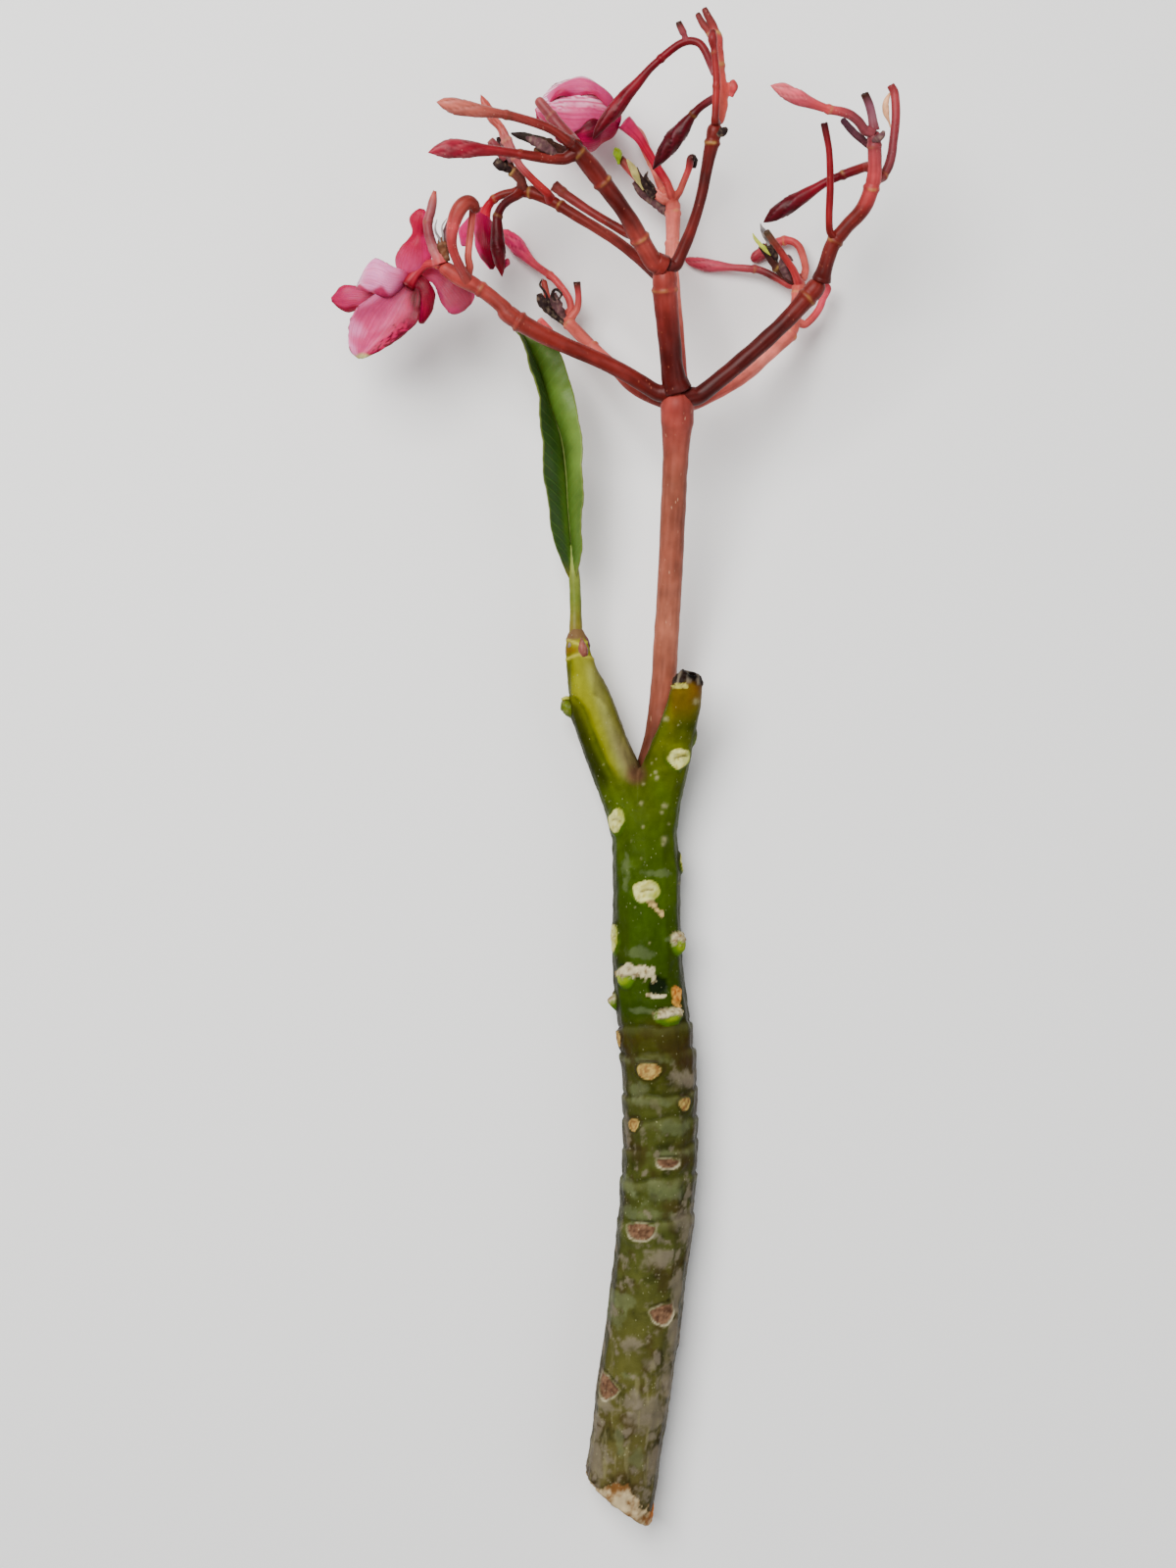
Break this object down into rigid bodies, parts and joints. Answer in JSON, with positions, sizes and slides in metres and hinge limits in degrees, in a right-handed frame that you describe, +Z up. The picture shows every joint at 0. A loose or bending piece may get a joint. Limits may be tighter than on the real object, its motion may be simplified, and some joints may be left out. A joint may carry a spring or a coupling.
{
  "type": "plumeria flower cluster",
  "caption": "Cut plumeria stem lying down, with a leaf and a forked flower cluster of red stalks, twisted buds, stubs and wilting pink flowers.",
  "frame": {"origin": "centre of the bounding box at the surface that the cutting lies on", "axes": "+Y along the woody stem towards the flowers, +X to the right seen from above, +Z up from the surface"},
  "size_m": [0.157, 0.4208, 0.0851],
  "materials": {
    "bark": "green-brown plumeria bark, satin, with leaf scars and grey patches",
    "leaf_green": "living leaf, waxy, pale midrib and veins",
    "stalk_red": "smooth red-brown fleshy flower stalk with pale dashes",
    "branch_red": "smooth dark red fleshy branch, satin",
    "branch_salmon": "smooth salmon fleshy branch, satin",
    "pedicel_mauve": "mauve-pink fleshy pedicel, satin",
    "bud_crimson": "dark crimson twisted bud, satin",
    "bud_pink": "pink twisted bud, satin",
    "dried": "withered brown stub, matte",
    "petal_pink": "soft pink petal with darker veins",
    "petal_pale": "pale pink veined petal with a hot pink edge",
    "petal_red": "deep red-pink petal and tube"
  },
  "bodies": {
    "root": {"arch_hook_stub": "pedicel_mauve", "arched_bud": "bud_crimson", "centre_branch": "branch_red", "centre_left_branch": "branch_red", "centre_rear_branch": "branch_salmon", "centre_rear_bud": "branch_salmon", "centre_rear_left_stub": "branch_salmon", "centre_rear_right_stub": "branch_salmon", "centre_right_branch": "branch_red", "cluster_dried_buds": "dried", "cluster_lower_bud": "bud_pink", "cluster_thick_stub": "pedicel_mauve", "cluster_upper_bud": "bud_pink", "dark_bud": "bud_crimson", "drooping_flower_front_petal": "petal_red", "drooping_flower_left_petal": "petal_pink", "drooping_flower_rear_petal": "petal_red", "drooping_flower_tube": "petal_red", "far_left_branch": "branch_red", "far_left_bud": "bud_pink", "far_left_stub": "dried", "flower_stalk": "stalk_red", "leaf": "leaf_green", "left_branch": "branch_red", "left_end_stub": "pedicel_mauve", "left_flower_broad_petal": "petal_pink", "left_flower_far_petal": "petal_pink", "left_flower_pale_petal": "petal_pale", "left_flower_rear_petal": "petal_pale", "left_flower_right_petal": "petal_red", "left_flower_top_petal": "petal_pale", "left_flower_tube": "pedicel_mauve", "left_hooked_bud": "bud_pink", "left_rear_branch": "branch_salmon", "left_rear_bud": "bud_pink", "left_rear_stub": "branch_salmon", "left_straight_stub": "pedicel_mauve", "middle_bud": "bud_crimson", "pink_top_stem": "branch_salmon", "red_side_stub": "pedicel_mauve", "red_top_stem": "branch_red", "red_upright_stem": "branch_red", "right_branch": "branch_red", "right_dark_stub": "dried", "right_lower_bud": "bud_crimson", "right_outer_stub": "pedicel_mauve", "right_rear_branch": "branch_salmon", "right_rear_curl": "branch_salmon", "right_rear_dark_stub": "dried", "right_rear_long_bud": "bud_pink", "right_rear_looped_bud": "branch_salmon", "right_rear_red_stub": "branch_red", "right_top_bud": "bud_pink", "right_top_stub": "pedicel_mauve", "right_upper_branch": "branch_red", "upper_flower_lower_petal": "petal_red", "upper_flower_outer_petal": "petal_pale", "upper_flower_rear_petal": "petal_pink", "upper_flower_tube": "petal_red", "woody_stem": "bark"}
  },
  "joints": []
}
